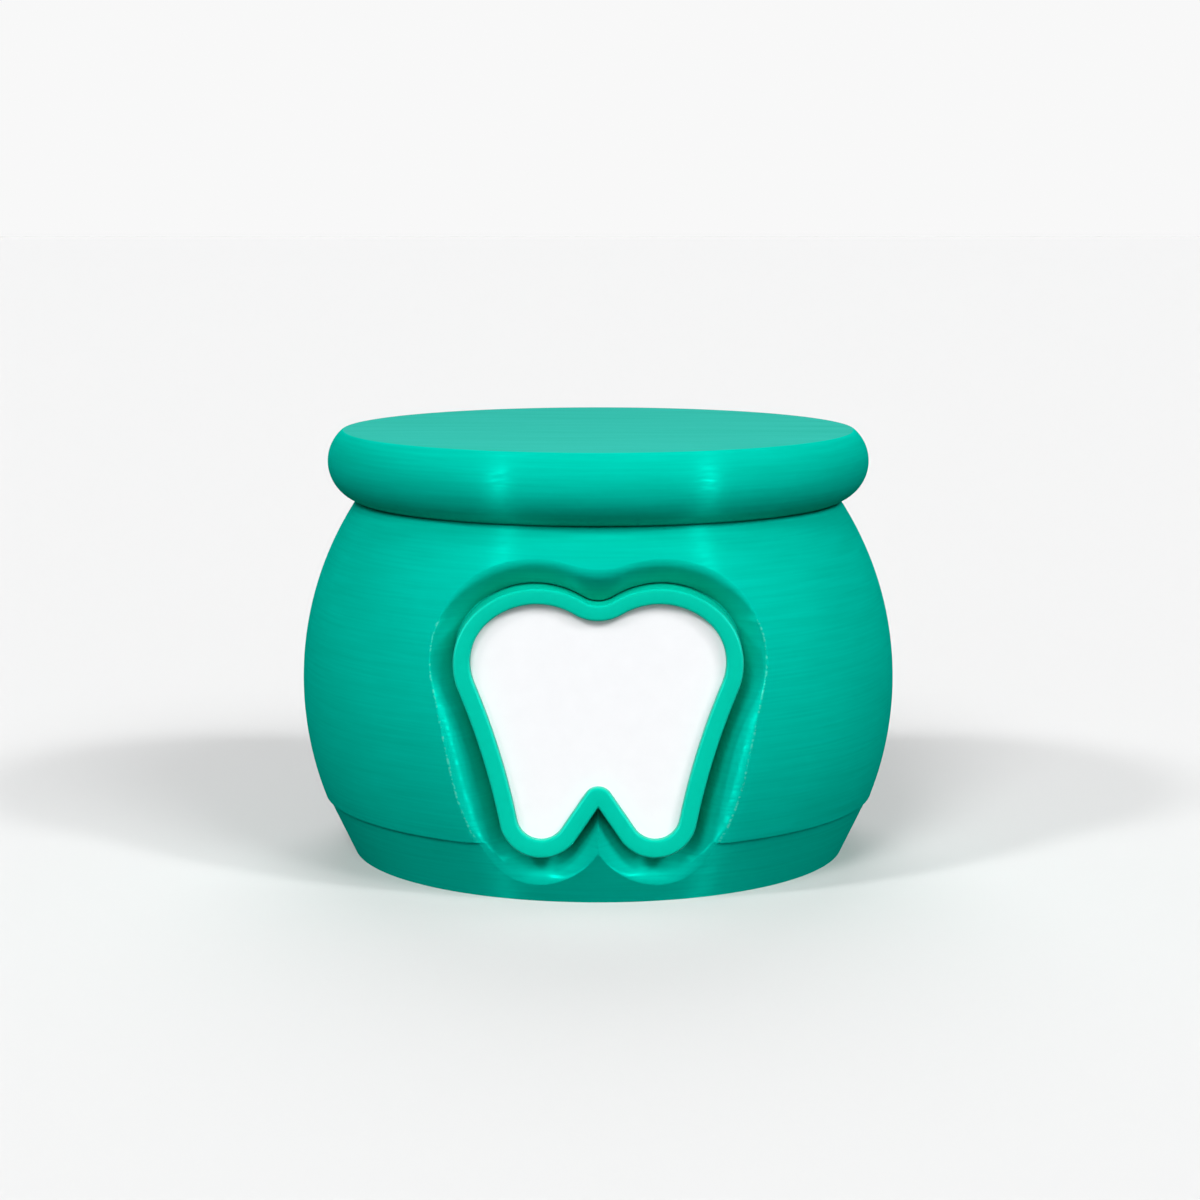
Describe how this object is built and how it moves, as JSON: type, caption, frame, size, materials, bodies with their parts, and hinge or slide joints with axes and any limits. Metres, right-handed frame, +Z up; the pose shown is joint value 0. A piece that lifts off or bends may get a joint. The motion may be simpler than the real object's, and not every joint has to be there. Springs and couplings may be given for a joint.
{
  "type": "baby tooth box",
  "caption": "Round barrel-shaped keepsake box with a flat lift-off lid and a framed white tooth panel set in a sloped recess on its front, for keeping milk teeth.",
  "frame": {"origin": "centre of the round base, on the surface the box stands on", "axes": "+Z up along the pot's axis, the tooth on the front faces -Y, +X to the viewer's right"},
  "size_m": [0.06, 0.0577, 0.0427],
  "materials": {
    "green_plastic": "satin, with fine horizontal print layers",
    "white_plastic": "smooth satin"
  },
  "bodies": {
    "pot": {"pot_body": "green_plastic", "tooth_frame": "green_plastic", "tooth_panel": "white_plastic"},
    "lid": {"lid": "green_plastic"}
  },
  "joints": [
    {"name": "lid_lift", "type": "slide", "parent": "pot", "child": "lid", "axis": [0, 0, 1], "range_m": [0, 0.03]}
  ]
}
